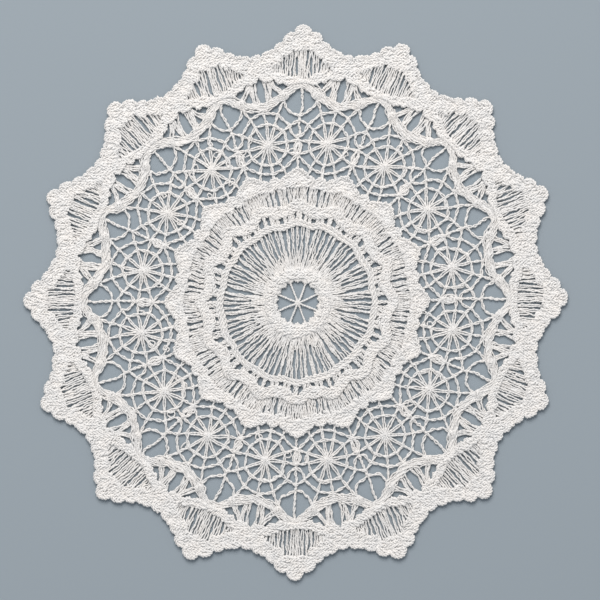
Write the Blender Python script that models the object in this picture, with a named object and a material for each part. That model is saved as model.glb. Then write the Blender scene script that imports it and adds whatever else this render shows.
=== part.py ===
"""A round battenberg-style lace doily: one stitched piece of openwork, lying flat.

The pattern is drawn first as an even one: a place in it is a ring radius in millimetres and a
turn in degrees clockwise from the point of its repeat. lie() then gives the place where the
cloth really lies, a little oval and skewed, in millimetres from the middle.
"""

from math import atan2, cos, degrees, hypot, pi, radians, sin

import bmesh
import bpy
from mathutils import Vector
from mathutils.geometry import delaunay_2d_cdt

# Driving sizes, in millimetres and degrees
REPEATS = 16
REPEAT_TURN = 360 / REPEATS
VALLEY = REPEAT_TURN / 2
POINT_REACH = 75.0
VALLEY_NOTCH = 67.0
VALLEY_NOTCH_TURN = 9.95
WEB_HEIGHT = 1.0
BED_HEIGHT = 1.1
BAND_HEIGHT = 1.5
METRES = 0.001

# How the lace strays from the even pattern at five rings, in waves round each ring
STRAY = [
    # ring, waves, pull outwards, its axis, sway clockwise, its axis
    (0.0, 1, 0.55, 95, 0.55, 5),
    (22.0, 1, 0.35, 90, 0.35, 5),
    (22.0, 2, 0.30, 40, 0.20, -40),
    (43.3, 0, 0.05, 0, -0.10, 0),
    (43.3, 1, 0.40, 90, 0.65, -70),
    (43.3, 2, 0.50, 45, 0.55, -60),
    (43.3, 3, 0.10, 70, 0.10, -5),
    (56.5, 0, 0.00, 0, 0.30, 0),
    (56.5, 1, 0.25, 135, 1.05, -65),
    (56.5, 2, 0.90, 45, 0.85, -50),
    (56.5, 3, 0.15, 85, 0.15, -20),
    (75.0, 0, 0.00, 0, 0.40, 0),
    (75.0, 1, 0.20, 95, 1.35, -65),
    (75.0, 2, 1.10, 45, 1.05, -40),
    (75.0, 3, 0.25, 80, 0.40, -40),
]
RINGS = sorted({row[0] for row in STRAY})


def place(radius, turn):
    """Point of the even pattern, with the turn clockwise from +Y."""
    return Vector((radius * sin(radians(turn)), radius * cos(radians(turn))))


def stray_at(ring, turn):
    """How far the lace has strayed at one turn of a ring of STRAY."""
    stray = Vector((0.0, 0.0))
    for radius, waves, pull, pull_axis, sway, sway_axis in STRAY:
        if radius == ring:
            stray += place(pull * cos(radians(waves * turn - pull_axis)), turn)
            stray += place(sway * cos(radians(waves * turn - sway_axis)), turn + 90)
    return stray


def lie(point):
    """Where a point of the even pattern lies on the real doily."""
    radius, turn = hypot(point.x, point.y), degrees(atan2(point.x, point.y))
    inner, outer = next(
        (pair for pair in zip(RINGS, RINGS[1:]) if radius < pair[1]),
        (RINGS[-2], RINGS[-1]),
    )
    share = min(1.0, (radius - inner) / (outer - inner))
    return point + (1.0 - share) * stray_at(inner, turn) + share * stray_at(outer, turn)


# The scalloped edge: a knob on each point, then bumps down to the valley between two points

EDGE_BUMPS = [
    # turn and radius of the notch after the bump, rise over the line between its notches, steps
    (1.95, 72.6, POINT_REACH - 72.6, 5),
    (4.45, 70.2, 1.25, 4),
    (6.60, 68.6, 0.80, 3),
    (7.90, 68.3, 0.45, 2),
    (VALLEY_NOTCH_TURN, VALLEY_NOTCH, 0.65, 3),
    (2 * VALLEY - VALLEY_NOTCH_TURN, VALLEY_NOTCH, 0.85, 3),
]


def bump(start, end, rise, steps):
    """Points of a rounded bump from one notch up to the next, which is left out."""
    along = end - start
    outwards = Vector((-along.y, along.x)).normalized()
    for step in range(steps):
        angle = pi * step / steps
        yield start + along * (1 - cos(angle)) / 2 + outwards * rise * sin(angle)


def edge_loop():
    """The whole outline, clockwise from the first point's knob."""
    one_side = [(turn, radius) for turn, radius, _, _ in EDGE_BUMPS[:-1]]
    notches = [(-turn, radius) for turn, radius in reversed(one_side)] + one_side
    bumps = EDGE_BUMPS[1:-1][::-1] + EDGE_BUMPS
    loop = []
    for repeat in range(REPEATS):
        middle = repeat * REPEAT_TURN
        ends = [place(radius, middle + turn) for turn, radius in notches]
        ends.append(place(VALLEY_NOTCH, middle + EDGE_BUMPS[-1][0]))
        for start, end, (_, _, rise, steps) in zip(ends, ends[1:], bumps):
            loop += bump(start, end, rise, steps)
    return loop


# The openings of one repeat that are over 4 mm long, from the edge inwards

LEAF_HALF = [(0.82, 60.0), (1.17, 58.3), (0.8, 56.0)]
LEAF = [(0.0, 62.0)] + LEAF_HALF + [(0.0, 54.9)] + [(-turn, radius) for turn, radius in reversed(LEAF_HALF)]
OVOID_HALF = [(0.55, 57.6), (2.1, 56.8), (3.2, 55.7), (3.95, 54.3), (3.4, 53.3), (2.3, 51.8), (0.7, 51.1)]
OVOID_CELL = [
    (5.05, 53.9), (3.8, 51.8), (2.4, 50.7), (0.9, 49.75), (2.7, 48.8), (4.4, 49.6), (6.1, 51.3), (5.6, 52.8)
]
ROSETTE_SLIT = [(-1.6, 19.7), (1.6, 19.7), (1.1, 14.2), (-1.1, 14.2)]

WHEEL_RING = 43.3
HALF_WHEEL = [
    # turn of a spoke from outwards, length to the wheel's outer ring
    (0, 9.0),
    (27, 8.65),
    (59, 8.05),
    (92, 8.55),
    (119, 8.9),
    (154, 8.0),
    (180, 8.1),
]
SPOKES = HALF_WHEEL + [(360 - turn, reach) for turn, reach in HALF_WHEEL[-2::-1]]
SPOKE_HALF_WIDTH = 0.45

HUB_HOLE = 5.6
PETALS = 8
HUB_KNOT = 1.2
HUB_SPOKE_HALF_WIDTH = 0.35


def opening(outline, middle, side=1):
    """An opening from its (turn, radius) outline, on one side of the line at middle."""
    return [place(radius, middle + side * turn) for turn, radius in outline]


def wheel_openings(valley):
    """The wedges between a spider wheel's spokes, from where the spokes part to its outer ring."""
    hub = place(WHEEL_RING, valley)
    for (turn, reach), (next_turn, next_reach) in zip(SPOKES, SPOKES[1:]):
        parting = SPOKE_HALF_WIDTH / sin(radians(next_turn - turn) / 2)
        reach, next_reach = reach - SPOKE_HALF_WIDTH, next_reach - SPOKE_HALF_WIDTH
        yield [
            hub + place(parting, valley + (turn + next_turn) / 2),
            hub + place(reach, valley + turn + degrees(SPOKE_HALF_WIDTH / reach)),
            hub + place(next_reach, valley + next_turn - degrees(SPOKE_HALF_WIDTH / next_reach)),
        ]


def repeat_openings(middle):
    """Every opening that is cut in the repeat whose point lies at this turn."""
    valley = middle + VALLEY
    yield opening(LEAF, valley)
    yield opening(ROSETTE_SLIT, valley)
    for side in (1, -1):
        yield opening(OVOID_HALF, middle, side)
        yield opening(OVOID_CELL, middle, side)
    yield from wheel_openings(valley)


def petal(number):
    """One opening of the hub's middle, between two of its threads."""
    turn = REPEAT_TURN + 360 / PETALS * (number + 0.5)
    reach = 180 / PETALS - degrees(HUB_SPOKE_HALF_WIDTH / HUB_HOLE)
    return [place(HUB_KNOT, turn)] + [place(HUB_HOLE, turn + share * reach) for share in (-1, -0.4, 0.4, 1)]


# The low relief of the upper face: stitched bands stand over the beds of bars between them

RELIEF = [
    # turn, radius, height
    (0.0, 72.0, BAND_HEIGHT),
    (2.9, 70.8, BAND_HEIGHT),
    (5.4, 68.0, BAND_HEIGHT),
    (8.2, 66.2, BAND_HEIGHT),
    (VALLEY, 65.2, BAND_HEIGHT),
    (0.0, 65.0, BED_HEIGHT),
    (3.2, 64.2, BED_HEIGHT),
    (6.4, 62.8, BED_HEIGHT),
    (0.0, 59.7, BAND_HEIGHT),
    (2.6, 58.8, BAND_HEIGHT),
    (4.9, 56.2, BAND_HEIGHT),
    (8.0, 54.3, BAND_HEIGHT),
    (VALLEY, 53.3, BAND_HEIGHT),
    (VALLEY, WHEEL_RING, BAND_HEIGHT),
    (0.0, 42.5, BAND_HEIGHT),
    (0.0, 33.6, BAND_HEIGHT),
    (5.6, 32.6, BAND_HEIGHT),
    (VALLEY, 32.0, BAND_HEIGHT),
    (2.8, 29.0, BED_HEIGHT),
    (8.4, 28.4, BED_HEIGHT),
    (0.0, 26.0, BAND_HEIGHT),
    (5.6, 25.0, BAND_HEIGHT),
    (VALLEY, 24.3, BAND_HEIGHT),
    (0.0, 21.6, BAND_HEIGHT),
    (VALLEY, 21.0, BAND_HEIGHT),
    (0.0, 17.0, BED_HEIGHT),
    (5.6, 12.0, BED_HEIGHT),
    (VALLEY, 7.7, BAND_HEIGHT),
]


def relief_points():
    """(point, height) of each place where the upper face rises or dips, in all repeats."""
    for repeat in range(REPEATS):
        middle = repeat * REPEAT_TURN
        for turn, radius, height in RELIEF:
            sides = (1,) if turn in (0.0, VALLEY) else (1, -1)
            for side in sides:
                yield place(radius, middle + side * turn), height


def anticlockwise(loop):
    """The same loop, turned round if it runs clockwise."""
    doubled_area = sum(here.cross(after) for here, after in zip(loop, loop[1:] + loop[:1]))
    return loop if doubled_area > 0 else loop[::-1]


def fill(loops, inner_points):
    """Triangles within the first loop and outside the others, as numbers of all the points in turn."""
    points = [point for loop in loops for point in loop] + inner_points
    rings = []
    first = 0
    for loop in loops:
        rings.append(list(range(first, first + len(loop))))
        first += len(loop)
    edges = list(zip(rings[0], rings[0][1:] + rings[0][:1]))
    within_edges, nearness = 1, 1e-6
    _, _, faces, sources, _, openings = delaunay_2d_cdt(points, edges, rings[1:], within_edges, nearness)
    kept = [face for face, found in zip(faces, openings) if not found]
    return [[sources[corner][0] for corner in face] for face in kept]


def doily_mesh():
    """The sheet: a flat underside, an upper face in low relief, and walls round each loop."""
    loops = [edge_loop()]
    for repeat in range(REPEATS):
        loops += repeat_openings(repeat * REPEAT_TURN)
    loops += [petal(number) for number in range(PETALS)]
    loops = [anticlockwise([lie(point) for point in loop]) for loop in loops]
    relief = [(lie(point), height) for point, height in relief_points()]

    xs, ys = zip(*loops[0])
    middle = Vector((max(xs) + min(xs), max(ys) + min(ys))) / 2
    loops = [[point - middle for point in loop] for loop in loops]
    relief = [(point - middle, height) for point, height in relief]

    shape = bmesh.new()
    rim = [point for loop in loops for point in loop]
    lower = [shape.verts.new((*point, 0.0)) for point in rim]
    upper = [shape.verts.new((*point, WEB_HEIGHT)) for point in rim]
    upper += [shape.verts.new((*point, height)) for point, height in relief]
    for corners in fill(loops, []):
        shape.faces.new([lower[corner] for corner in corners])
    for corners in fill(loops, [point for point, _ in relief]):
        shape.faces.new([upper[corner] for corner in corners])
    first = 0
    for loop in loops:
        numbers = [first + number for number in range(len(loop))]
        for here, after in zip(numbers, numbers[1:] + numbers[:1]):
            shape.faces.new((lower[here], lower[after], upper[after], upper[here]))
        first += len(loop)
    bmesh.ops.recalc_face_normals(shape, faces=shape.faces)
    bmesh.ops.scale(shape, vec=(METRES, METRES, METRES), verts=shape.verts)
    mesh = bpy.data.meshes.new("doily")
    shape.to_mesh(mesh)
    shape.free()
    return mesh


def thread_material():
    """Off-white cotton thread."""
    material = bpy.data.materials.new("cotton thread")
    material.use_nodes = True
    shader = material.node_tree.nodes["Principled BSDF"]
    shader.inputs["Base Color"].default_value = (0.80, 0.78, 0.75, 1.0)
    shader.inputs["Roughness"].default_value = 0.6
    shader.inputs["Metallic"].default_value = 0.0
    return material


for leftover in list(bpy.data.objects):
    bpy.data.objects.remove(leftover, do_unlink=True)

doily = bpy.data.objects.new("doily", doily_mesh())
doily.data.materials.append(thread_material())
bpy.context.scene.collection.objects.link(doily)
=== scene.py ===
from math import pi

import bpy
import numpy as np
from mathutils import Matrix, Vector
from mathutils.geometry import delaunay_2d_cdt


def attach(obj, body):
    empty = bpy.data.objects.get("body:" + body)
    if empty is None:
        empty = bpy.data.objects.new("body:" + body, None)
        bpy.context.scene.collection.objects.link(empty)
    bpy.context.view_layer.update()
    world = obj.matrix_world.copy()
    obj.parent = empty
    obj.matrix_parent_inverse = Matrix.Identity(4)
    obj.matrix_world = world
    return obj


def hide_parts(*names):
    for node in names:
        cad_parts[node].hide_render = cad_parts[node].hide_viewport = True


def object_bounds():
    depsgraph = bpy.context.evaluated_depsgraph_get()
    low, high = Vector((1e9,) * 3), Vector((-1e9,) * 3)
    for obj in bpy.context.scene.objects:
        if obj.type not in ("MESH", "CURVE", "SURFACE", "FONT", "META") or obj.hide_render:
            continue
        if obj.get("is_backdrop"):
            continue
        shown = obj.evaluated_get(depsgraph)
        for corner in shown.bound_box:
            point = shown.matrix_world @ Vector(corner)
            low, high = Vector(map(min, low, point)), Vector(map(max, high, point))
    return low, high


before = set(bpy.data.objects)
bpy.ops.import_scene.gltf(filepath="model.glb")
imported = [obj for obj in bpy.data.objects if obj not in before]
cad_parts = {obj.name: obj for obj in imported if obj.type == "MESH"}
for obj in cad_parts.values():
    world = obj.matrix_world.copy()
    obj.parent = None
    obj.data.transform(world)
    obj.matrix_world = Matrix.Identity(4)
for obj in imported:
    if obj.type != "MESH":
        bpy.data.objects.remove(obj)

cad_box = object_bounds()

# The spider wheels: pairs of off-white two-ply embroidery thread, run out from each hub as twelve
# spokes that spread apart halfway, close up at the inner ring and go on to the outer ring. Both
# rings are stitched over the spokes, node by node, and the outer ones join wheel to wheel.

REPEATS = 16
REPEAT_TURN = 360 / REPEATS
VALLEY = REPEAT_TURN / 2
MM = 0.001  # sizes are in millimetres, and turns in degrees, until the meshes are made
STRAY = [
    # ring, waves, pull outwards, its axis, sway clockwise, its axis
    (0.0, 1, 0.55, 95, 0.55, 5),
    (22.0, 1, 0.35, 90, 0.35, 5),
    (22.0, 2, 0.30, 40, 0.20, -40),
    (43.3, 0, 0.05, 0, -0.10, 0),
    (43.3, 1, 0.40, 90, 0.65, -70),
    (43.3, 2, 0.50, 45, 0.55, -60),
    (43.3, 3, 0.10, 70, 0.10, -5),
    (56.5, 0, 0.00, 0, 0.30, 0),
    (56.5, 1, 0.25, 135, 1.05, -65),
    (56.5, 2, 0.90, 45, 0.85, -50),
    (56.5, 3, 0.15, 85, 0.15, -20),
    (75.0, 0, 0.00, 0, 0.40, 0),
    (75.0, 1, 0.20, 95, 1.35, -65),
    (75.0, 2, 1.10, 45, 1.05, -40),
    (75.0, 3, 0.25, 80, 0.40, -40),
]
RINGS = sorted({row[0] for row in STRAY})
EDGE_BUMPS = [
    # turn and radius of the notch after the bump, rise over the line between its notches
    (1.95, 72.6, 2.4),
    (4.45, 70.2, 1.25),
    (6.60, 68.6, 0.80),
    (7.90, 68.3, 0.45),
    (9.95, 67.0, 0.65),
    (2 * VALLEY - 9.95, 67.0, 0.85),
]
noise = np.random.default_rng(16)


def place(radius, turn):
    """Spots of the even plan in millimetres, with the turn in degrees clockwise from the top."""
    radius, turn = np.broadcast_arrays(radius, np.radians(turn))
    return np.stack([radius * np.sin(turn), radius * np.cos(turn)], -1)


def stray_at(ring, turn):
    """How far the lace has strayed at these turns of a ring of STRAY."""
    stray = 0.0
    for radius, waves, pull, pull_axis, sway, sway_axis in STRAY:
        if radius == ring:
            stray = stray + place(pull * np.cos(np.radians(waves * turn - pull_axis)), turn)
            stray = stray + place(sway * np.cos(np.radians(waves * turn - sway_axis)), turn + 90)
    return stray


def lie(spots):
    """Where spots of the even plan lie on the washed lace, which is a little oval and skewed."""
    spots = np.asarray(spots, float)
    radius = np.hypot(spots[..., 0], spots[..., 1])
    turn = np.degrees(np.arctan2(spots[..., 0], spots[..., 1]))
    lying = spots - box_middle
    for number, ring in enumerate(RINGS):
        share = np.interp(radius, RINGS, np.eye(len(RINGS))[number])
        lying = lying + share[..., None] * stray_at(ring, turn)
    return lying


def bump(start, end, rise, steps=6):
    """Spots of a rounded bump from one notch up to the next, which is left out."""
    angle = pi * np.arange(steps)[:, None] / steps
    along = end - start
    outwards = np.array([-along[1], along[0]]) / np.hypot(*along)
    return start + along * (1 - np.cos(angle)) / 2 + outwards * rise * np.sin(angle)


def scallops(bumps):
    """A scalloped line all round, clockwise, from its bumps between a point and past the valley."""
    notches = [row[:2] for row in bumps]
    notches = [(-turn, radius) for turn, radius in notches[-2::-1]] + notches
    rises = [row[2] for row in bumps[-2:0:-1] + bumps]
    loop = []
    for repeat in range(REPEATS):
        ends = [place(radius, turn + repeat * REPEAT_TURN) for turn, radius in notches]
        loop += [bump(*two_ends, rise) for *two_ends, rise in zip(ends, ends[1:], rises)]
    return np.concatenate(loop)


# The lace lies with the middle of its box at the origin, which takes a first look at its outline.
box_middle = np.zeros(2)
outline = lie(scallops(EDGE_BUMPS))
box_middle = (outline.min(0) + outline.max(0)) / 2

THREAD = 0.4
THREAD_LAY = 0.9
PLIES = 2.0
GROOVE_DEPTH = 0.05 * MM
GROOVE_STRENGTH = 0.5
FIBRE_SCALE = 9000.0
FIBRE_DETAIL = 2.0
FIBRE_SHARE = 0.5
NOISE_ROUGHNESS = 0.6
TONE_SCALE = 260.0
TONE_DETAIL = 3.0
TONE_LOW = 0.3
TONE_HIGH = 0.7
COOL_WHITE = (0.80, 0.80, 0.795, 1)
WARM_WHITE = (0.85, 0.83, 0.805, 1)
FINISH = {
    "Roughness": 0.5,
    "Specular IOR Level": 0.5,
    "Sheen Weight": 0.1,
    "Sheen Roughness": 0.4,
}


def node_maker(tree):
    """A helper that adds a node with these inputs, linked or set, and settings."""

    def add(kind, *values, **settings):
        made = tree.nodes.new(kind)
        for name, value in settings.items():
            setattr(made, name, value)
        for socket, value in zip(made.inputs, values):
            if isinstance(value, bpy.types.NodeSocket):
                tree.links.new(value, socket)
            elif value is not None:
                socket.default_value = value
        return made.outputs

    return add


def thread_material():
    """Two plies laid round each other, with fibres and a little change of tone over the lace."""
    material = bpy.data.materials.new("lace_thread")
    material.use_nodes = True
    tree = material.node_tree
    shader = tree.nodes["Principled BSDF"]
    add = node_maker(tree)
    ply = add("ShaderNodeSeparateXYZ", add("ShaderNodeAttribute", attribute_name="ply")["Vector"])
    angle = add("ShaderNodeMath", ply["Y"], ply["X"], operation="ARCTAN2")[0]
    twist = add("ShaderNodeMath", ply["Z"], 2 * pi / THREAD_LAY, operation="MULTIPLY")[0]
    round_plies = add("ShaderNodeMath", angle, PLIES, twist, operation="MULTIPLY_ADD")[0]
    groove = add("ShaderNodeMath", round_plies, operation="COSINE")[0]
    spot = add("ShaderNodeTexCoord")["Object"]
    fine = (FIBRE_SCALE, FIBRE_DETAIL, NOISE_ROUGHNESS)
    fibres = add("ShaderNodeTexNoise", spot, None, *fine)[0]
    relief = add("ShaderNodeMath", fibres, FIBRE_SHARE, groove, operation="MULTIPLY_ADD")[0]
    normal = add("ShaderNodeBump", GROOVE_STRENGTH, GROOVE_DEPTH, None, relief)[0]
    tree.links.new(normal, shader.inputs["Normal"])
    coarse = (TONE_SCALE, TONE_DETAIL, NOISE_ROUGHNESS)
    tone = add("ShaderNodeTexNoise", spot, None, *coarse)[0]
    toned = add("ShaderNodeMapRange", tone, TONE_LOW, TONE_HIGH, 0.0, 1.0)[0]
    skipped = [None] * 5
    white = add("ShaderNodeMix", toned, *skipped, COOL_WHITE, WARM_WHITE, data_type="RGBA")[2]
    tree.links.new(white, shader.inputs["Base Color"])
    for name, value in FINISH.items():
        shader.inputs[name].default_value = value
    return material


thread = thread_material()

# How many times in a metre a thread's sway, fray and girth change, and by how much. The last value
# keeps the fray of threads that lie side by side apart.
SWAY_SCALE = 180.0
FRAY_SCALE = 900.0
GIRTH_SCALE = 1800.0
PUSH = (4.0, 4.0, 1.6)
GIRTH_LEAST = 0.35
GIRTH_RANGE = 1.3
NEXT_THREAD = 3.7


def stitching_tree():
    """Makes mesh lines into threads. The line's twine attribute counts the half turns of twining."""
    tree = bpy.data.node_groups.new("stitching", "GeometryNodeTree")
    tree.interface.new_socket("Geometry", in_out="OUTPUT", socket_type="NodeSocketGeometry")
    tree.interface.new_socket("Geometry", in_out="INPUT", socket_type="NodeSocketGeometry")
    for name in ("Threads", "Sides"):
        tree.interface.new_socket(name, in_out="INPUT", socket_type="NodeSocketInt")
    for name in ("Thickness", "Spread", "Lift", "Step", "Sway", "Fray", "Seed"):
        tree.interface.new_socket(name, in_out="INPUT", socket_type="NodeSocketFloat")
    add = node_maker(tree)

    def vector(operation, *values):
        return add("ShaderNodeVectorMath", *values, operation=operation)[0]

    def number(operation, *values):
        return add("ShaderNodeMath", *values, operation=operation)[0]

    def scaled(direction, amount):
        return add("ShaderNodeVectorMath", direction, None, None, amount, operation="SCALE")[0]

    def shaken(amount, scale, offset):
        """A random push of about this amount, which changes over a length of 1 / scale."""
        shade = add("ShaderNodeTexNoise", spot, offset, scale, 1.0, noise_dimensions="4D")[1]
        centred = vector("SUBTRACT", shade, (0.5, 0.5, 0.5))
        return scaled(vector("MULTIPLY", centred, PUSH), amount)

    # The line is smoothed and cut in even steps, or left as it is where the step is 0.
    given = add("NodeGroupInput")
    line = add("GeometryNodeMeshToCurve", given["Geometry"])[0]
    bent = add("GeometryNodeCurveSplineType", line, spline_type="CATMULL_ROM")[0]
    smooth = add("GeometryNodeResampleCurve", bent, None, None, given["Step"], mode="LENGTH")[0]
    stepped = add("FunctionNodeCompare", given["Step"], 0.0, data_type="FLOAT")[0]
    line = add("GeometryNodeSwitch", stepped, line, smooth, input_type="GEOMETRY")[0]

    # The threads wind round it, evenly apart, and each is then pushed a little out of true.
    line, copy = add("GeometryNodeDuplicateElements", line, None, given["Threads"], domain="SPLINE")
    up = (0.0, 0.0, 1.0)
    across = vector("NORMALIZE", vector("CROSS_PRODUCT", add("GeometryNodeInputTangent")[0], up))
    twine = add("GeometryNodeInputNamedAttribute", "twine")[0]
    share = number("DIVIDE", copy, given["Threads"])
    phase = number("MULTIPLY_ADD", share, 2 * pi, number("MULTIPLY", twine, pi))
    aside = scaled(across, number("MULTIPLY", number("SINE", phase), given["Spread"]))
    lift = number("MULTIPLY", number("COSINE", phase), given["Lift"])
    raised = add("ShaderNodeCombineXYZ", None, None, lift)[0]
    line = add("GeometryNodeSetPosition", line, None, None, vector("ADD", aside, raised))[0]
    spot = add("GeometryNodeInputPosition")[0]
    each = number("MULTIPLY_ADD", copy, NEXT_THREAD, given["Seed"])
    sway = shaken(given["Sway"], SWAY_SCALE, 0.0)
    shake = vector("ADD", sway, shaken(given["Fray"], FRAY_SCALE, each))
    line = add("GeometryNodeSetPosition", line, None, None, shake)[0]
    line = add("GeometryNodeSetCurveNormal", line, mode="Z_UP")[0]

    # Each thread is a tube that stores how far round and along it a spot is, for its plies.
    along = tree.nodes.new("GeometryNodeCaptureAttribute")
    along.capture_items.new("FLOAT", "along")
    tree.links.new(line, along.inputs[0])
    tree.links.new(add("GeometryNodeSplineParameter")["Length"], along.inputs[1])
    radius = number("MULTIPLY", given["Thickness"], 0.5)
    ring = add("GeometryNodeCurvePrimitiveCircle", given["Sides"], None, None, None, radius)[0]
    round_it = tree.nodes.new("GeometryNodeCaptureAttribute")
    round_it.capture_items.new("FLOAT", "round")
    tree.links.new(ring, round_it.inputs[0])
    tree.links.new(add("GeometryNodeSplineParameter")["Factor"], round_it.inputs[1])
    girth = add("ShaderNodeTexNoise", spot, each, GIRTH_SCALE, 1.0, noise_dimensions="4D")[0]
    girth = number("MULTIPLY_ADD", girth, GIRTH_RANGE, GIRTH_LEAST)
    tube = add("GeometryNodeCurveToMesh", along.outputs[0], round_it.outputs[0], girth, True)[0]
    turn = number("MULTIPLY", round_it.outputs[1], 2 * pi)
    length = number("MULTIPLY", along.outputs[1], 1 / MM)
    ply = add("ShaderNodeCombineXYZ", number("COSINE", turn), number("SINE", turn), length)[0]
    tube = add(
        "GeometryNodeStoreNamedAttribute", tube, None, "ply", ply, data_type="FLOAT_VECTOR"
    )[0]
    tube = add("GeometryNodeSetShadeSmooth", tube)[0]
    tube = add("GeometryNodeRealizeInstances", tube)[0]
    tube = add("GeometryNodeSetMaterial", tube, None, thread)[0]
    add("NodeGroupOutput", tube)
    return tree


STITCHING = stitching_tree()


def run(spots, height, half_lay=None, twine=None):
    """One run of thread through spots of the even plan, as rows of x, y, z and twine.

    Its threads change sides once in every half lay, or once from each spot to the next.
    """
    spots = np.asarray(spots, float)
    if half_lay:
        strides = np.hypot(*np.diff(spots, axis=0).T)
        twine = np.concatenate([[0.0], np.cumsum(strides)]) / half_lay + noise.uniform(0, 2)
    elif twine is None:
        twine = np.arange(len(spots))
    height = np.broadcast_to(height, len(spots))
    return np.column_stack([lie(spots), height, twine])


def sides_of(turns):
    """Both sides of a repeat's point, or one where these turns lie on the point or the valley."""
    return (1,) if np.all(np.asarray(turns) % VALLEY == 0) else (1, -1)


def each_repeat(route, height, half_lay, wander=0.1):
    """The runs through a route of (turn, radius) in every repeat, on both sides of its point."""
    turns, radii = np.asarray(route, float).T
    for repeat in range(REPEATS):
        for side in sides_of(turns):
            spots = place(radii, repeat * REPEAT_TURN + side * turns)
            spots[1:-1] += noise.normal(0, wander, spots[1:-1].shape)
            yield run(spots, height, half_lay)


def put(name, data):
    """A new object of this name in the scene."""
    made = bpy.data.objects.new(name, data)
    bpy.context.scene.collection.objects.link(made)
    return made


def stitch(
    name, runs, threads=2, spread=0.2, lift=0.13, sway=0.15, fray=0.06,
    thickness=THREAD, step=0.5, sides=4, closed=False,
):
    """A piece of stitching along these runs, in millimetres, joined to loops where it's closed."""
    vertices, edges, count = [], [], 0
    for rows in runs:
        numbers = np.arange(count, count + len(rows))
        pairs = np.column_stack([numbers, np.roll(numbers, -1)])
        edges.append(pairs if closed else pairs[:-1])
        vertices.append(rows)
        count += len(rows)
    rows = np.concatenate(vertices)
    mesh = bpy.data.meshes.new(name)
    mesh.from_pydata(rows[:, :3] * MM, np.concatenate(edges), [])
    twine = mesh.attributes.new("twine", "FLOAT", "POINT")
    twine.data.foreach_set("value", rows[:, 3].astype(np.float32))
    piece = put(name, mesh)
    modifier = piece.modifiers.new("stitching", "NODES")
    modifier.node_group = STITCHING
    sizes = {
        "Threads": threads,
        "Sides": sides,
        "Thickness": thickness * MM,
        "Spread": spread * MM,
        "Lift": lift * MM,
        "Step": step * MM,
        "Sway": sway * MM,
        "Fray": fray * MM,
        "Seed": float(len(name)),
    }
    for socket in STITCHING.interface.items_tree:
        if socket.in_out == "INPUT" and socket.name in sizes:
            modifier[socket.identifier] = sizes[socket.name]
    graph = bpy.context.evaluated_depsgraph_get()
    finished = bpy.data.meshes.new_from_object(piece.evaluated_get(graph))
    piece.modifiers.clear()
    piece.data = finished
    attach(piece, "root")


WHEEL_RING = 43.3
HALF_WHEEL = [
    # turn of a spoke from outwards, length to the inner and to the outer ring
    (0, 5.7, 9.0),
    (27, 5.8, 8.65),
    (60, 5.7, 8.05),
    (92.5, 5.4, 8.55),
    (120, 5.6, 8.9),
    (154, 5.65, 8.0),
    (180, 5.7, 8.1),
]
SPOKES = HALF_WHEEL + [(360 - turn, inner, outer) for turn, inner, outer in HALF_WHEEL[-2:0:-1]]
NET = 0.6
BEHIND_NET = NET - 0.1
OVER_NET = NET + 0.05
NET_THREAD = 0.46
NET_HALF_LAY = 2.2
HUB_RADIUS = 0.15
SPOKE_HEIGHTS = [NET + 0.4, NET + 0.1, NET]
SPOKE_TWINE = [0.2, 0.45, 0.8]
SPOKE_WANDER = 0.1
NODE_WANDER = 0.18
INNER_RING_HEIGHT = NET + 0.12
SPARE_CHANCE = 0.4
SPARE_WANDER = 0.4
OUTER_RING = [
    # each run as turns and radii, first those round the wheels, then those that tie them in
    [(11.25, 52.3), (9.2, 51.8), (6.9, 51.2)],
    [(6.9, 51.2), (4.9, 49.5), (2.9, 47.9)],
    [(2.9, 47.9), (2.5, 46.3), (1.4, 45.2), (0.0, 44.6)],
    [(0.0, 39.7), (3.0, 37.9), (6.0, 36.2)],
    [(6.0, 36.2), (8.6, 35.6), (11.25, 35.2)],
    [(0.0, 49.3), (2.9, 47.9)],
    [(6.9, 51.2), (5.0, 54.6)],
    [(6.0, 36.2), (5.0, 34.6)],
    [(VALLEY, 52.3), (VALLEY, 54.0)],
    [(VALLEY, 35.2), (VALLEY, 33.8)],
    [(VALLEY, 37.6), (VALLEY, 33.8)],
]

crossings, spoke_runs, ring_runs = [], [], []
for repeat in range(REPEATS):
    valley = repeat * REPEAT_TURN + VALLEY
    hub = place(WHEEL_RING, valley)
    nodes = []
    for turn, inner, outer in SPOKES:
        node = hub + place(inner, valley + turn) + noise.normal(0, NODE_WANDER, 2)
        halfway = (hub + node) / 2 + noise.normal(0, SPOKE_WANDER, 2)
        spoke = [hub + place(HUB_RADIUS, valley + turn), halfway, node]
        spoke_runs.append(run(spoke, SPOKE_HEIGHTS, twine=SPOKE_TWINE))
        ring_runs.append(run([node, hub + place(outer, valley + turn)], NET, NET_HALF_LAY))
        nodes.append(node)
    crossings += nodes
    for here, after in zip(nodes, nodes[1:] + nodes[:1]):
        halfway = (here + after) / 2
        ring_runs.append(run([here, halfway, after], INNER_RING_HEIGHT, NET_HALF_LAY))
        if noise.random() < SPARE_CHANCE:
            bowed = halfway + noise.normal(0, SPARE_WANDER, 2)
            ring_runs.append(run([here, bowed, after], BEHIND_NET, NET_HALF_LAY))
for route in OUTER_RING:
    ring_runs += each_repeat(route, OVER_NET, NET_HALF_LAY)
stitch("wheel_spokes", spoke_runs, spread=0.27, lift=0.08, fray=0.15, thickness=NET_THREAD)
stitch("wheel_rings", ring_runs, spread=0.24, fray=0.16, thickness=NET_THREAD)


# The bridges: looser pairs of the same thread that hold the wheels, the long leaf-shaped holes and
# the ovals between the bands, with small ovals of thread between the wheels. Their ends are caught
# into the stitching that they run to.

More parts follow.
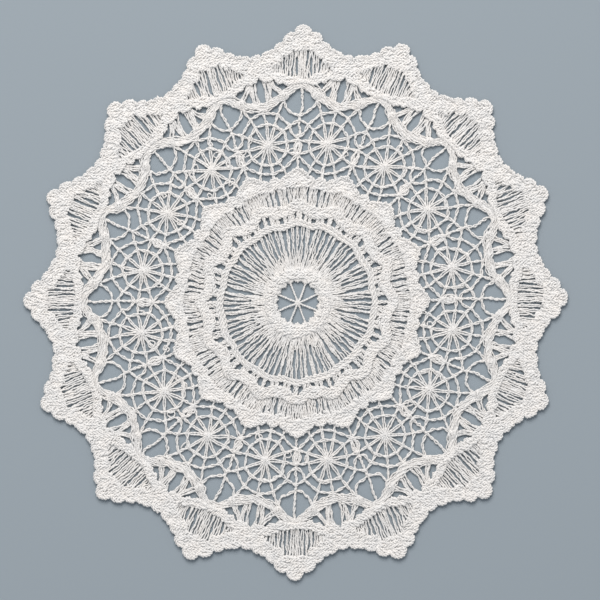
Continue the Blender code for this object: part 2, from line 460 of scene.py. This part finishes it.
BRIDGES = [
    # half lay, wander, height, then the turns and radii along it
    (1.6, 0.4, NET, [(0.0, 58.4), (0.0, 56.0), (0.0, 53.0), (0.0, 50.3)]),
    (1.0, 0.1, NET, [(0.0, 50.3), (0.0, 49.3)]),
    (1.4, 0.2, NET, [(0.0, 49.3), (0.0, 47.6), (0.0, 46.2), (0.0, 44.2)]),
    (2.4, 0.1, NET, [(0.0, 43.8), (0.4, 42.8), (0.5, 41.7), (0.4, 40.6), (0.0, 39.7)]),
    (2.4, 0.1, NET, [(0.0, 43.8), (1.0, 42.8), (1.25, 41.7), (1.0, 40.6), (0.0, 39.7)]),
    (1.3, 0.1, NET, [(0.0, 39.7), (0.0, 36.4)]),
    (2.2, 0.15, NET, [(4.8, 54.9), (4.2, 52.9), (3.2, 51.8), (1.8, 51.1), (0.0, 50.5)]),
    (3.5, 0.1, NET, [(10.6, 61.6), (10.05, 60.0), (9.8, 58.2), (9.85, 56.3), (10.2, 54.5)]),
    (4.0, 0.1, NET, [(8.6, 61.4), (8.55, 58.2), (8.7, 54.8)]),
    (4.0, 0.1, NET, [(9.05, 61.4), (9.0, 58.2), (9.15, 54.8)]),
    (4.0, 0.1, OVER_NET, [(8.2, 60.8), (7.0, 58.8), (5.2, 56.9)]),
    (4.0, 0.1, OVER_NET, [(8.6, 60.3), (7.45, 58.4), (5.8, 56.3)]),
]

bridge_runs = []
for half_lay, wander, height, route in BRIDGES:
    bridge_runs += each_repeat(route, height, half_lay, wander)
stitch("bridges", bridge_runs, spread=0.23, fray=0.18, thickness=NET_THREAD)


# The fans: upright bars of two threads each in the window under every point, caught into the
# stitching above and below them, with single threads behind three of the gaps on either side.

FAN_BARS = [
    # turn and radius at the top, turn and radius at the foot
    (0.0, 69.4, 0.0, 60.0),
    (0.7, 69.0, 0.9, 60.0),
    (1.7, 69.3, 1.95, 60.0),
    (2.75, 68.9, 3.0, 60.3),
    (3.9, 67.3, 4.05, 60.6),
    (5.05, 67.0, 5.0, 61.0),
    (6.05, 65.6, 6.05, 61.4),
    (7.0, 65.0, 7.0, 61.8),
    (7.8, 64.4, 7.8, 62.0),
]
FAN_HEAD = 1.5
FAN_HEIGHTS = [1.1, 0.85, NET, NET + 0.2]
FAN_HALF_LAY = 10.0
FAN_BACKS = [
    # turn, radius at the top, radius at the foot
    (0.35, 68.5, 61),
    (5.55, 65, 62),
    (6.5, 65, 62),
]
SINGLE = {"threads": 1, "spread": 0, "lift": 0}

fan_runs = []
for top, reach, foot, root in FAN_BARS:
    middle = ((top + foot) / 2, (reach + root) / 2)
    route = [(top, reach), (top, reach - FAN_HEAD), middle, (foot, root)]
    fan_runs += each_repeat(route, FAN_HEIGHTS, FAN_HALF_LAY, wander=0.12)
stitch("fans", fan_runs, spread=0.29, fray=0.22, thickness=NET_THREAD)
fan_back_runs = []
for turn, reach, root in FAN_BACKS:
    route = [(turn, reach), (turn, (reach + root) / 2), (turn, root)]
    fan_back_runs += each_repeat(route, BEHIND_NET, half_lay=1.0, wander=0.15)
stitch("fan_backs", fan_back_runs, step=0.6, **SINGLE)


# The ribbon: a band of long loose threads that arches over the ovals, is gathered at each shoulder
# and dips to the valleys. Four pairs of threads lie side by side over two more, stitched all round
# in one go.

RIBBON = [
    # turn, radius of the middle, half width
    (0.0, 58.8, 0.85),
    (2.3, 58.0, 0.95),
    (4.6, 56.2, 1.3),
    (6.8, 54.9, 1.15),
    (9.0, 54.2, 1.1),
    (11.25, 53.65, 1.25),
]
BAND_WANDER = 0.15
START_SHIFT = 5


def full_repeat(half_route):
    """The rows of a route from a point to its valley and on, the other way round, to the next."""
    rows = np.array(half_route, float)
    back = rows[-2:0:-1].copy()
    back[:, 0] = 2 * VALLEY - back[:, 0]
    return np.concatenate([rows, back])


def all_round(half_route):
    """A closed line of the even plan from a route between a point and its valley."""
    turns, radii = full_repeat(half_route).T[:2]
    return np.concatenate([place(radii, repeat * REPEAT_TURN + turns) for repeat in range(REPEATS)])


def beside(loop, offset):
    """The closed line that runs this far outwards of a closed line that runs clockwise."""
    along = np.roll(loop, -1, 0) - np.roll(loop, 1, 0)
    outwards = np.column_stack([-along[:, 1], along[:, 0]])
    outwards = outwards / np.hypot(*outwards.T)[:, None]
    return loop + outwards * np.broadcast_to(offset, len(loop))[:, None]


def lane(half_route, share):
    """The closed line at this share of a band's half width, outwards of its middle."""
    widths = np.tile(full_repeat(half_route)[:, 2], REPEATS)
    return beside(all_round(half_route), share * widths)


def band(half_route, shares, height, half_lay, straying=0.08):
    """Runs round the whole lace, side by side at these shares of a band's half width."""
    middle = lane(half_route, 0)
    wander = noise.normal(0, BAND_WANDER, middle.shape)
    for number, share in enumerate(shares):
        spots = np.roll(lane(half_route, share) + wander, START_SHIFT * number, 0)
        spots = np.concatenate([spots, spots[:1]])
        spots[1:-1] += noise.normal(0, straying, spots[1:-1].shape)
        yield run(spots, height, half_lay)


top_lanes, back_lanes = (-0.8, -0.27, 0.27, 0.8), (-0.5, 0.5)
ribbon_runs = list(band(RIBBON, top_lanes, height=0.85, half_lay=2.6, straying=0.2))
ribbon_runs += band(RIBBON, back_lanes, height=0.55, half_lay=1.7)
stitch("ribbon", ribbon_runs, spread=0.27, sway=0.2, fray=0.24)


# The border: rows of twined threads that all run one way across the cloth, row under row, within
# the scalloped edge and round the windows of the fans. They lie lower in a crease at each notch of
# the edge, over coarser rows that run the other way, and a cord of two threads finishes each edge.

ROW_PITCH = 0.8
ROW_HEIGHT = 0.95
ROW_HALF_LAY = 1.05
ROW_LAY_SHARES = (0.85, 1.15)
ROW_SPREAD = 0.36
ROW_RISE = 0.14
ROW_END = 0.12
ROW_BEND = 0.16
ROW_BEND_WAVES = (1.0, 2.0)
ROW_SHAKE = [0.1, 0.1, 0.05]
ROW_MARGIN = 0.15
SHORTEST_ROW = 0.7
ROW_STITCHING = {"step": 0, "thickness": 0.62, "sides": 5, "fray": 0.1}
CREASE_LENGTH = 2.4
CREASE_WIDTH = 0.5
CREASE_DEPTH = 0.3
BACK_PITCH = 1.7
BACK_HEIGHT = 0.5
BACK_HALF_LAY = 1.4
BACK_STEP = 0.8
EDGE_MARGIN = 0.4
CORD_MARGIN = 0.45
RIM_MARGIN = 0.25
CORD_THREAD = 0.5
CORD_HEIGHT = ROW_HEIGHT + 0.1
CORD_HALF_LAY = 0.8
CORD_WANDER = 0.05
BORDER_INSIDE = [
    # turn, radius
    (0.0, 59.3), (3.0, 59.0), (4.1, 58.8), (4.6, 59.3), (5.2, 59.8), (5.8, 59.5), (6.2, 59.4),
    (6.7, 60.1), (7.2, 60.8), (7.8, 60.7), (8.3, 60.3), (8.9, 60.6), (9.4, 60.6), (10.2, 60.5),
    (10.6, 61.0), (11.25, 62.0),
]
FAN_WINDOW = [
    # turn, radius
    (1.4, 68.0), (2.5, 68.3), (3.4, 66.3), (4.75, 66.1), (5.9, 64.6), (7.0, 64.4), (7.6, 63.4),
    (7.2, 62.8), (5.9, 62.4), (4.8, 62.0), (3.7, 61.3), (1.6, 60.8),
]
WINDOW_WANDER = 0.2


def row_loop(left, right, level, height, half_lay, upright):
    """One row: two threads that cross again and again and join in a round end at either side."""
    waves = max(1, round((right - left) / half_lay * noise.uniform(*ROW_LAY_SHARES)))
    quarters = np.arange(2 * waves + 1)
    phase = pi / 2 + pi * quarters / 2
    x = np.linspace(left + ROW_END, right - ROW_END, len(quarters))
    bend_phase = x * noise.uniform(*ROW_BEND_WAVES) + noise.uniform(0, 2 * pi)
    bend = level + ROW_BEND * np.sin(bend_phase)
    aside = ROW_SPREAD * np.sin(phase)
    rise = ROW_RISE * np.cos(phase) * noise.choice([-1, 1])
    over = np.column_stack([x, bend + aside, height + rise])
    under = np.column_stack([x, bend - aside, height - rise])[::-1]
    rows = np.concatenate([over, [[right, bend[-1], height]], under, [[left, bend[0], height]]])
    rows += noise.normal(0, ROW_SHAKE, rows.shape)
    if upright:
        rows[:, :2] = rows[:, 1::-1]
    return np.column_stack([rows, np.zeros(len(rows))])


def creases_of(bumps):
    """Lines inwards from the notches of a scalloped edge, each as its start and its end."""
    turns, radii = np.array([row[:2] for row in bumps[:-1]]).T
    turns, radii = np.append(-turns[::-1], turns), np.append(radii[::-1], radii)
    notches = [place(radii, repeat * REPEAT_TURN + turns) for repeat in range(REPEATS)]
    notches = np.concatenate(notches)
    return np.stack([lie(notches), lie(beside(notches, -CREASE_LENGTH))], 1)


def pressed(rows, creases):
    """Rows that lie lower along these creases, where one bump meets the next."""
    starts = creases[:, 0]
    along = creases[:, 1] - starts
    reach = rows[:, None, :2] - starts
    share = np.clip((reach * along).sum(-1) / (along**2).sum(-1), 0, 1)
    away = np.linalg.norm(reach - share[..., None] * along, axis=-1).min(1)
    rows[:, 2] -= CREASE_DEPTH * np.exp(-((away / CREASE_WIDTH) ** 2))
    return rows


def levels(loops, pitch):
    """The levels of rows that lie this far apart over these closed lines."""
    reach = max(np.abs(loop).max() for loop in loops)
    return np.arange(-reach + pitch / 2, reach, pitch)


def fill(name, loops, row_levels, height, half_lay, upright=False, creases=None, **stitching):
    """Rows of twined loops over all that lies within an odd number of these closed lines."""
    loops = [loop[:, ::-1] if upright else loop for loop in loops]
    runs = []
    for level in row_levels:
        cuts = []
        for loop in loops:
            after = np.roll(loop, -1, 0)
            crossing = (loop[:, 1] > level) != (after[:, 1] > level)
            near, far = loop[crossing], after[crossing]
            share = (level - near[:, 1]) / (far[:, 1] - near[:, 1])
            cuts += list(near[:, 0] + share * (far[:, 0] - near[:, 0]))
        cuts.sort()
        for left, right in zip(cuts[::2], cuts[1::2]):
            if right - left > SHORTEST_ROW:
                ends = (left + ROW_MARGIN, right - ROW_MARGIN)
                runs.append(row_loop(*ends, level, height, half_lay, upright))
    if creases is not None:
        runs = [pressed(rows, creases) for rows in runs]
    stitch(name, runs, closed=True, **SINGLE, **stitching)


def back_rows(name, loops):
    """The coarser rows behind the others, which run at right angles to them."""
    back_levels = levels(loops, BACK_PITCH)
    fill(name, loops, back_levels, BACK_HEIGHT, BACK_HALF_LAY, upright=True, step=BACK_STEP)


def edging(name, line):
    """A cord of two threads that runs round the lace along this closed line."""
    line = np.concatenate([line, line[:1]])
    line[1:-1] += noise.normal(0, CORD_WANDER, line[1:-1].shape)
    cord = run(line, CORD_HEIGHT, CORD_HALF_LAY)
    stitch(name, [cord], spread=0.3, fray=0.1, step=0.3, thickness=CORD_THREAD)


windows = []
for repeat in range(REPEATS):
    turns, radii = np.array(FAN_WINDOW + [(-turn, radius) for turn, radius in FAN_WINDOW[::-1]]).T
    radii = radii + noise.normal(0, WINDOW_WANDER, len(radii))
    windows.append(lie(place(radii, repeat * REPEAT_TURN + turns)))
border_outside = lie(beside(scallops(EDGE_BUMPS), -EDGE_MARGIN))
border_loops = [border_outside, lie(all_round(BORDER_INSIDE))] + windows
border_levels = levels(border_loops, ROW_PITCH)
creases = creases_of(EDGE_BUMPS)
for name, half in (("border_far", border_levels > 0), ("border_near", border_levels <= 0)):
    some = border_levels[half]
    fill(name, border_loops, some, ROW_HEIGHT, ROW_HALF_LAY, creases=creases, **ROW_STITCHING)
back_rows("border_back", border_loops)
edging("border_edge", beside(scallops(EDGE_BUMPS), -CORD_MARGIN))
edging("border_rim", beside(all_round(BORDER_INSIDE), RIM_MARGIN))


# The collar round the rosette: a scalloped band of the same rows, creases and cord, from which
# radial bars of two threads, and single threads behind them, run in to the wave band.

COLLAR_BUMPS = [
    # turn and radius of the notch after the bump, rise over the line between its notches
    (1.3, 36.1, 0.6),
    (3.2, 35.3, 0.45),
    (5.0, 34.4, 0.45),
    (8.3, 33.0, 0.6),
    (2 * VALLEY - 8.3, 33.0, 1.35),
]
COLLAR_INSIDE = [
    # turn, radius
    (0.0, 31.3), (2.8, 31.2), (5.6, 31.0), (8.2, 30.3), (9.5, 30.6), (11.25, 30.9),
]
BAR_TURNS = (0.0, 1.5, 3.0, 4.6, 6.3, 7.2, 9.0, 10.0)
BAR_RADII = (32.2, 30.8, 28.0, 25.2)
BAR_HEIGHTS = [1.1, 0.8, NET, NET]
BAR_HALF_LAY = 3.5
BAR_BACK_TURNS = (0.75, 2.4, 3.9)
BAR_BACK_RADII = (31.5, 28.0, 25.2)

collar_outside = lie(beside(scallops(COLLAR_BUMPS), -EDGE_MARGIN))
collar_loops = [collar_outside, lie(all_round(COLLAR_INSIDE))]
some = levels(collar_loops, ROW_PITCH)
creases = creases_of(COLLAR_BUMPS)
fill("collar", collar_loops, some, ROW_HEIGHT, ROW_HALF_LAY, creases=creases, **ROW_STITCHING)
back_rows("collar_back", collar_loops)
edging("collar_edge", beside(scallops(COLLAR_BUMPS), -CORD_MARGIN))
bar_runs, bar_back_runs = [], []
for turn in BAR_TURNS:
    bar_runs += each_repeat([(turn, radius) for radius in BAR_RADII], BAR_HEIGHTS, BAR_HALF_LAY)
for turn in BAR_BACK_TURNS:
    route = [(turn, radius) for radius in BAR_BACK_RADII]
    bar_back_runs += each_repeat(route, BACK_HEIGHT, half_lay=1.0, wander=0.15)
stitch("collar_bars", bar_runs, spread=0.21, fray=0.2)
stitch("bar_backs", bar_back_runs, step=0.6, **SINGLE)


# The wave band and the ring band: the wave band is rows between two cords of two threads, and the
# ring band two such cords with a thinner pair between them. Short bars from one band to the other
# leave a row of small holes.

WAVE = [
    # turn, radius of the middle, half width
    (0.0, 26.6, 1.05),
    (2.8, 26.0, 1.1),
    (5.6, 25.2, 1.1),
    (8.4, 24.65, 1.25),
    (11.25, 24.55, 1.4),
]
RING = [
    # turn, radius of the middle, half width
    (0.0, 21.5, 0.85),
    (5.6, 21.2, 0.85),
    (11.25, 20.9, 0.85),
]
INNER_ROW_HEIGHT = ROW_HEIGHT - 0.05
WAVE_ROWS_SHARE = 0.85
LADDER = [
    # turn and radius at the top, turn at the foot
    (0.1, 25.5, 0.7),
    (5.5, 24.6, 4.8),
    (6.1, 24.6, 5.8),
    (8.1, 24.0, 8.1),
    (9.1, 24.0, 8.9),
]
LADDER_FOOT = 21.5
LADDER_HEIGHT = NET + 0.15
LADDER_HALF_LAY = 1.2
SPARE_BARS_AT_TOP = 4
SPARE_BAR_RADII = [25.2, 21.6]
SPARE_BAR_TURN = 5

wave_loops = [lie(lane(WAVE, WAVE_ROWS_SHARE)), lie(lane(WAVE, -WAVE_ROWS_SHARE))]
wave_levels = levels(wave_loops, ROW_PITCH)
fill("wave_rows", wave_loops, wave_levels, INNER_ROW_HEIGHT, ROW_HALF_LAY, **ROW_STITCHING)
band_runs = list(band(WAVE, (-0.9, 0.9), height=0.95, half_lay=1.0))
band_runs += band(RING, (-0.62, 0.62), height=0.85, half_lay=1.3)
stitch("bands", band_runs, spread=0.3, lift=0.15, fray=0.12, step=0.32, thickness=CORD_THREAD)
ladder_runs = list(band(WAVE, (-0.4, 0.4), BACK_HEIGHT, half_lay=1.4))
ladder_runs += band(RING, (0.0,), height=0.55, half_lay=1.9)
for turn, reach, foot in LADDER:
    route = [(turn, reach), (foot, LADDER_FOOT)]
    ladder_runs += each_repeat(route, LADDER_HEIGHT, LADDER_HALF_LAY)
for repeat in range(REPEATS):
    spare_bars = SPARE_BARS_AT_TOP if repeat == 0 else 1
    turns = repeat * REPEAT_TURN + noise.uniform(-SPARE_BAR_TURN, SPARE_BAR_TURN, spare_bars)
    for turn in turns:
        ladder_runs.append(run(place(SPARE_BAR_RADII, turn), LADDER_HEIGHT, LADDER_HALF_LAY))
stitch("ladder", ladder_runs, spread=0.27, fray=0.1)


# The rosette: pairs of long threads from the ring band in to the hub's thick ring, which is a
# thread laid in loops in and out all round under rows of thread, with four pairs of threads that
# run across its hole and cross in the middle.

ROSETTE_BARS = [
    # turn at the ring band, halfway and at the hub
    (0.0, 0.0, 0.0),
    (4.2, 4.3, 4.5),
    (8.0, 8.4, 9.0),
]
ROSETTE_RADII = (21.6, 19.0, 15.0, 8.0)
ROSETTE_HEIGHTS = [0.7, NET, NET, 0.7]
ROSETTE_HALF_LAY = 6.0
BEHIND_BARS = [(8.3, 21.4), (8.6, 15.0), (8.8, 8.5)]
SHORT_BARS = [
    # turn, radius at the top
    (2.2, 12.6),
    (6.6, 11.8),
]
HUB_LOOPS = 72
PICOTS = 18
PICOT_RISE = 0.3
HUB_LOOP = [
    # turn from the loop's middle, radius, height
    (-1.3, 6.0, 0.75), (0.0, 5.65, 0.65), (1.3, 6.0, 0.75), (1.5, 8.0, 0.7), (2.0, 9.6, 0.7),
    (3.0, 9.9, 0.7), (4.0, 9.4, 0.75), (3.5, 8.0, 0.7),
]
LOOP_SHAKE = 0.12
LOOP_LIFT = 0.08
HUB_ROWS_OUTSIDE = 9.2
HUB_ROWS_INSIDE = 6.5
CROSS_PAIRS = 4
CROSS_RADII = [6.6, 3.0, 0.0, -3.0, -6.6]
CROSS_HEIGHTS = [0.6, NET, NET + 0.3, NET, 0.6]

rosette_runs = []
for outer, middle, inner in ROSETTE_BARS:
    route = list(zip((outer, outer, middle, inner), ROSETTE_RADII))
    rosette_runs += each_repeat(route, ROSETTE_HEIGHTS, ROSETTE_HALF_LAY)
rosette_runs += each_repeat(BEHIND_BARS, BEHIND_NET, ROSETTE_HALF_LAY, wander=0.2)
for turn, reach in SHORT_BARS:
    route = [(turn, reach), (turn, 10.2), (turn, 8.5)]
    rosette_runs += each_repeat(route, OVER_NET, half_lay=3.0)
stitch("rosette", rosette_runs, spread=0.25, fray=0.23)

hub_loop = []
for number in range(HUB_LOOPS):
    turn = number * 360 / HUB_LOOPS
    picot = PICOT_RISE * np.cos(np.radians(turn * PICOTS))
    for aside, radius, height in HUB_LOOP:
        if radius < HUB_ROWS_INSIDE:
            radius -= picot
        radius += noise.uniform(-LOOP_SHAKE, LOOP_SHAKE)
        height += noise.uniform(-LOOP_LIFT, LOOP_LIFT)
        hub_loop.append((*lie(place(radius, turn + aside)), height, 0.0))
stitch("hub_ring", [np.array(hub_loop)], closed=True, step=0.4, **SINGLE)

hub_turns = np.arange(0, 360, 10)
hub_loops = [lie(place(radius, hub_turns)) for radius in (HUB_ROWS_OUTSIDE, HUB_ROWS_INSIDE)]
hub_levels = levels(hub_loops, ROW_PITCH)
fill("hub_rows", hub_loops, hub_levels, INNER_ROW_HEIGHT, ROW_HALF_LAY, **ROW_STITCHING)
cross_runs = []
for number in range(CROSS_PAIRS):
    turn = REPEAT_TURN + 180 / CROSS_PAIRS * number
    cross_runs.append(run(place(CROSS_RADII, turn), CROSS_HEIGHTS, half_lay=0.7))
stitch("hub_threads", cross_runs, spread=0.18)


# The knots where many threads meet: a thread coiled up into a small dome over the crossing, with
# another laid across it. Smaller coils sit on the wheels' inner rings, and a few loose ends of the
# same thread curl away from them.

KNOTS = [
    # turn and radius, width, height of the dome's top
    (VALLEY, WHEEL_RING, 0.5, 1.25),
    (VALLEY, WHEEL_RING, 0.25, 1.35),
    (0.0, 50.3, 0.45, 0.9),
    (0.0, 49.3, 0.45, 0.9),
    (2.9, 47.9, 0.4, 0.85),
    (6.9, 51.2, 0.4, 0.85),
    (6.0, 36.2, 0.45, 0.85),
    (VALLEY, 35.2, 0.4, 0.85),
    (0.0, 45.0, 0.5, 0.9),
    (0.0, 43.7, 0.6, 1.0),
    (0.0, 39.8, 0.65, 1.0),
    (0.0, 37.9, 0.3, 0.8),
    (4.7, 56.0, 1.2, 1.3),
]
COIL_STEP = 60.0
COIL_EASE = 0.7
DOME_FALL = 0.45
LAID_REACH = 0.7
LAID_HEIGHTS = np.array([-0.3, 0.05, -0.3])
SMALL_WIDTH = 0.28
SMALL_TOP = 0.85
CURLS = 26
CURL_SPOTS = 8
CURL_STEP = 50
CURL_AWAY = 0.9
CURL_RADII = (0.4, 1.2)
CURL_HEIGHTS = (0.55, 0.9)


def coil(spot, width, top, windings):
    """A run that winds outwards from the top of a small dome."""
    steps = np.arange(round(360 / COIL_STEP * windings) + 1)
    reach = width * (steps / steps[-1]) ** COIL_EASE
    spots = spot + place(reach, COIL_STEP * steps + noise.uniform(0, 360))
    return np.column_stack([lie(spots), top - DOME_FALL * (reach / width) ** 2, steps])


knot_runs = [coil(place(0.0, 0.0), width=0.8, top=1.1, windings=2.5)]
for turn, radius, width, top in KNOTS:
    for repeat in range(REPEATS):
        for side in sides_of(turn):
            spot = place(radius, repeat * REPEAT_TURN + side * turn)
            knot_runs.append(coil(spot, width, top, windings=1.0 + 2 * width))
            reach = LAID_REACH * width
            laid = spot + place([-reach, 0, reach], noise.uniform(0, 360))
            knot_runs.append(run(laid, top + LAID_HEIGHTS))
knot_runs += [coil(spot, SMALL_WIDTH, SMALL_TOP, windings=1.0) for spot in crossings]
for spot in noise.choice(crossings, CURLS, replace=False):
    turns = CURL_STEP * np.arange(CURL_SPOTS) + noise.uniform(0, 360)
    middle = spot + noise.normal(0, CURL_AWAY, 2)
    curl = middle + place(noise.uniform(*CURL_RADII, CURL_SPOTS), turns)
    knot_runs.append(run(curl, noise.uniform(*CURL_HEIGHTS, CURL_SPOTS)))
stitch("knots", knot_runs, step=0.35, **SINGLE)


# The ground: the close web of under thread that backs the dense zones, a thin sheet within them,
# on which the rows and cords are stitched. It is the cloth that holds the whole piece together.

GROUND_FOOT = 0.55
GROUND_TOP = 0.8
GROUND_MARGIN = 0.3
BACKED_LINES = [
    # closed line, half width of the sheet along it
    (all_round(RIBBON), 0.7),
    (all_round(WAVE), 0.8),
    (all_round(RING), 0.65),
    (place(7.9, hub_turns), 1.4),
]
KEEP_INSIDE = 1
SAME_SPOT = 1e-6


def ground_sheet(zones):
    """A thin closed sheet over zones, each a list of an outer loop and its openings."""
    vertices, faces = [], []
    for zone in zones:
        first, points, rings = len(vertices), [], []
        for loop in zone:
            xs, ys = loop.T
            doubled_area = np.sum(xs * np.roll(ys, -1) - ys * np.roll(xs, -1))
            loop = loop if doubled_area > 0 else loop[::-1]
            rings.append(list(range(len(points), len(points) + len(loop))))
            points += [Vector(spot) for spot in loop]
        outer = rings[0]
        edges = list(zip(outer, outer[1:] + outer[:1]))
        _, _, triangles, sources, _, openings = delaunay_2d_cdt(
            points, edges, rings[1:], KEEP_INSIDE, SAME_SPOT
        )
        flats = [
            [sources[corner][0] for corner in face]
            for face, opening in zip(triangles, openings) if not opening
        ]
        count = len(points)
        for height in (GROUND_FOOT, GROUND_TOP):
            vertices += [(*(point * MM), height * MM) for point in points]
        faces += [[corner + first for corner in face[::-1]] for face in flats]
        faces += [[corner + first + count for corner in face] for face in flats]
        for number, ring in enumerate(rings):
            for here, after in zip(ring, ring[1:] + ring[:1]):
                side = (here, after, after + count, here + count)
                faces.append([corner + first for corner in (side if number == 0 else side[::-1])])
    mesh = bpy.data.meshes.new("ground")
    mesh.from_pydata(vertices, [], faces)
    return mesh


zones = [
    [border_outside, lie(beside(all_round(BORDER_INSIDE), GROUND_MARGIN)), *windows],
    [collar_outside, lie(beside(all_round(COLLAR_INSIDE), GROUND_MARGIN))],
]
for line, half_width in BACKED_LINES:
    zones.append([lie(beside(line, half_width)), lie(beside(line, -half_width))])
ground_mesh = ground_sheet(zones)
ground_mesh.materials.append(thread)
ground = put("ground", ground_mesh)
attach(ground, "root")
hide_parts("doily")


# The floor, the light and the camera: a plain pale blue-grey floor, one soft light that comes from
# the far side, and a camera that looks straight down on the lace.

FLOOR_SIZE = 3.0
FLOOR_COLOUR = (0.29, 0.34, 0.38, 1)
FLOOR_ROUGHNESS = 0.9
SKY_COLOUR = (0.93, 0.96, 1.0, 1)
SKY_STRENGTH = 0.46
LIGHT_SIZE = 0.75
LIGHT_ENERGY = 14.8
LIGHT_COLOUR = (1.0, 0.955, 0.92)
LIGHT_PLACE = (-0.15, 0.8, 0.95)
MM_PER_PIXEL = 0.27223
IMAGE_SIDE = 600
MIDDLE_PIXEL = (295.75, 302.5)
CAMERA_HEIGHT = 0.9
SENSOR_WIDTH = 36.0

bpy.ops.mesh.primitive_plane_add(size=FLOOR_SIZE, location=(0, 0, 0))
floor = bpy.context.object
floor.name = "floor"
floor_material = bpy.data.materials.new("floor")
floor_material.use_nodes = True
floor_shader = floor_material.node_tree.nodes["Principled BSDF"]
floor_shader.inputs["Base Color"].default_value = FLOOR_COLOUR
floor_shader.inputs["Roughness"].default_value = FLOOR_ROUGHNESS
floor.data.materials.append(floor_material)
floor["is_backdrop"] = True

world = bpy.data.worlds.new("studio")
bpy.context.scene.world = world
world.use_nodes = True
sky = world.node_tree.nodes["Background"]
sky.inputs["Color"].default_value = SKY_COLOUR
sky.inputs["Strength"].default_value = SKY_STRENGTH

light = bpy.data.lights.new("softbox", "AREA")
light.size = LIGHT_SIZE
light.energy = LIGHT_ENERGY
light.color = LIGHT_COLOUR
softbox = put("softbox", light)
softbox.location = LIGHT_PLACE
softbox.rotation_euler = (-softbox.location).to_track_quat("-Z", "Y").to_euler()

pixel = MM_PER_PIXEL * MM
camera_data = bpy.data.cameras.new("camera")
camera_data.sensor_width = SENSOR_WIDTH
camera_data.lens = SENSOR_WIDTH * CAMERA_HEIGHT / (IMAGE_SIDE * pixel)
camera = put("camera", camera_data)
camera.location = (
    (IMAGE_SIDE / 2 - MIDDLE_PIXEL[0]) * pixel,
    (MIDDLE_PIXEL[1] - IMAGE_SIDE / 2) * pixel,
    CAMERA_HEIGHT,
)
bpy.context.scene.camera = camera
bpy.context.scene.view_settings.view_transform = "Standard"

boxes = {"cad": cad_box, "visual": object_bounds()}
{name: np.array(box).tolist() for name, box in boxes.items()}
